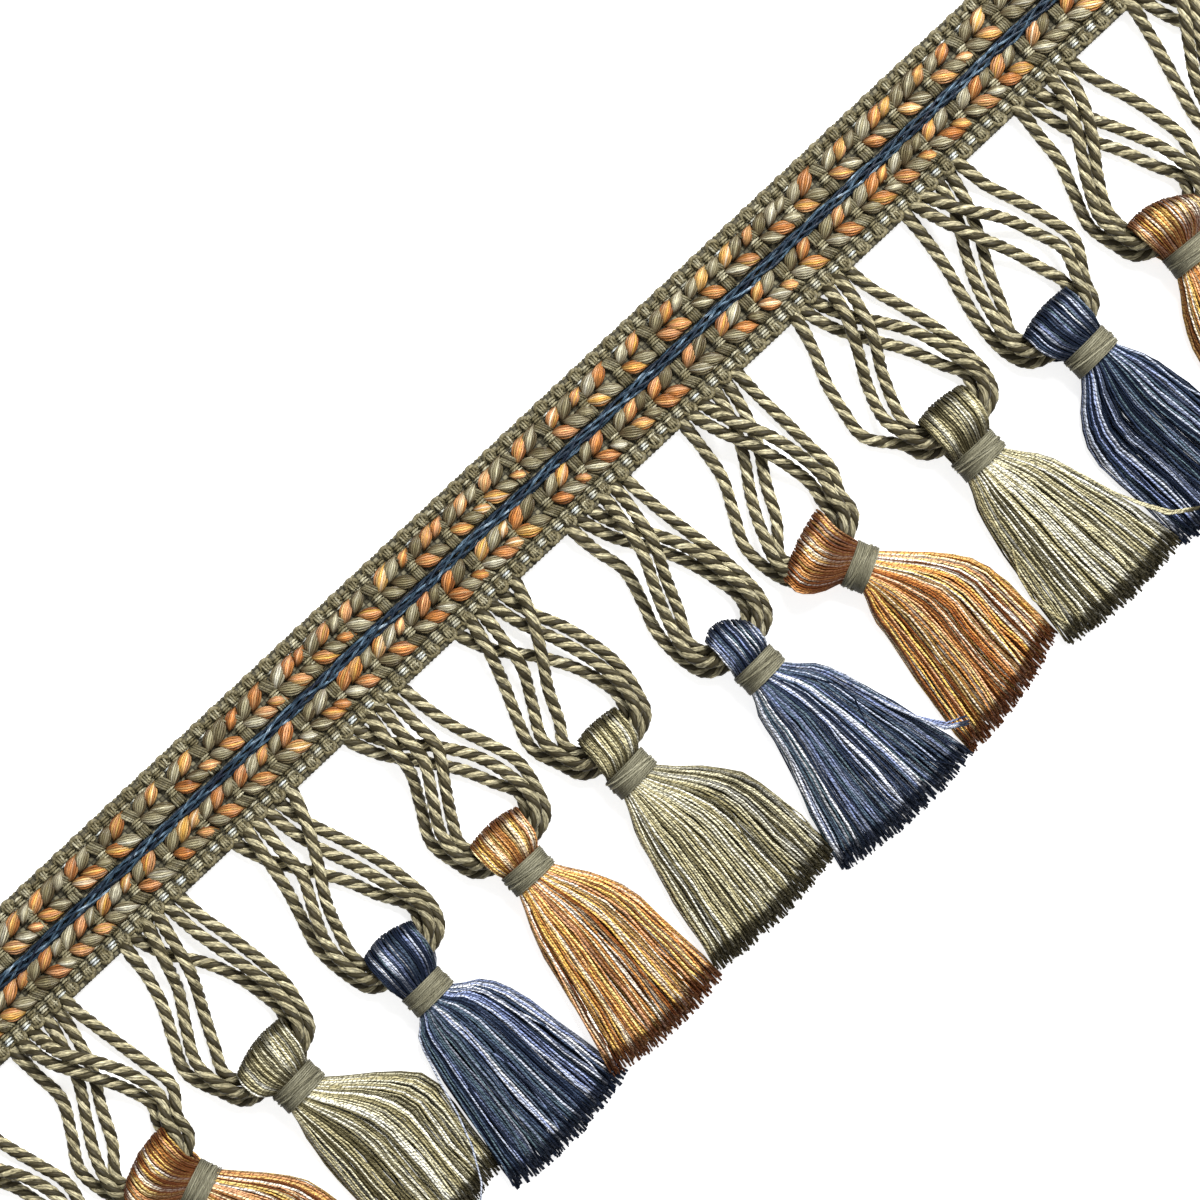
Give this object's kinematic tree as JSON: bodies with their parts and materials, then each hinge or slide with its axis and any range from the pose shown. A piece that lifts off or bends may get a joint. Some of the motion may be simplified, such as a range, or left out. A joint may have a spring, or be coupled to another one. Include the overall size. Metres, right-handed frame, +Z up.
{
  "type": "tassel fringe trim",
  "caption": "Cut length of woven braid trim with a couched centre cord and folded yarn tassels hung on twisted cord loops.",
  "frame": {"origin": "on the table, under the middle of the trim's box (heading and tassels)", "axes": "+X along the heading, +Y from the tassels to the heading, +Z up out of the face of the trim"},
  "size_m": [0.348, 0.1076, 0.0091],
  "materials": {
    "braid_olive": "woven satin and cotton yarns, olive with orange and gold leaves",
    "cord_blue": "twisted satin cord, slate blue",
    "cord_olive": "twisted cord, olive and dark khaki plies",
    "yarn_blue": "soft yarn, navy with periwinkle and grey threads",
    "yarn_gold": "soft yarn, orange-gold with salmon and brown threads",
    "yarn_olive": "soft yarn, olive with pale threads"
  },
  "bodies": {
    "root": {"heading": "braid_olive", "centre_cord": "cord_blue", "loop_01_outer": "cord_olive", "loop_01_middle": "cord_olive", "loop_01_inner": "cord_olive", "tassel_01_blue": "yarn_blue", "loop_02_outer": "cord_olive", "loop_02_middle": "cord_olive", "loop_02_inner": "cord_olive", "tassel_02_gold": "yarn_gold", "loop_03_outer": "cord_olive", "loop_03_middle": "cord_olive", "loop_03_inner": "cord_olive", "tassel_03_olive": "yarn_olive", "loop_04_outer": "cord_olive", "loop_04_middle": "cord_olive", "loop_04_inner": "cord_olive", "tassel_04_blue": "yarn_blue", "loop_05_outer": "cord_olive", "loop_05_middle": "cord_olive", "loop_05_inner": "cord_olive", "tassel_05_gold": "yarn_gold", "loop_06_outer": "cord_olive", "loop_06_middle": "cord_olive", "loop_06_inner": "cord_olive", "tassel_06_olive": "yarn_olive", "loop_07_outer": "cord_olive", "loop_07_middle": "cord_olive", "loop_07_inner": "cord_olive", "tassel_07_blue": "yarn_blue", "loop_08_outer": "cord_olive", "loop_08_middle": "cord_olive", "loop_08_inner": "cord_olive", "tassel_08_gold": "yarn_gold", "loop_09_outer": "cord_olive", "loop_09_middle": "cord_olive", "loop_09_inner": "cord_olive", "tassel_09_olive": "yarn_olive", "loop_10_outer": "cord_olive", "loop_10_middle": "cord_olive", "loop_10_inner": "cord_olive", "tassel_10_blue": "yarn_blue", "loop_11_outer": "cord_olive", "loop_11_middle": "cord_olive", "loop_11_inner": "cord_olive", "tassel_11_gold": "yarn_gold", "loop_12_outer": "cord_olive", "loop_12_middle": "cord_olive", "loop_12_inner": "cord_olive", "tassel_12_olive": "yarn_olive"}
  },
  "joints": []
}
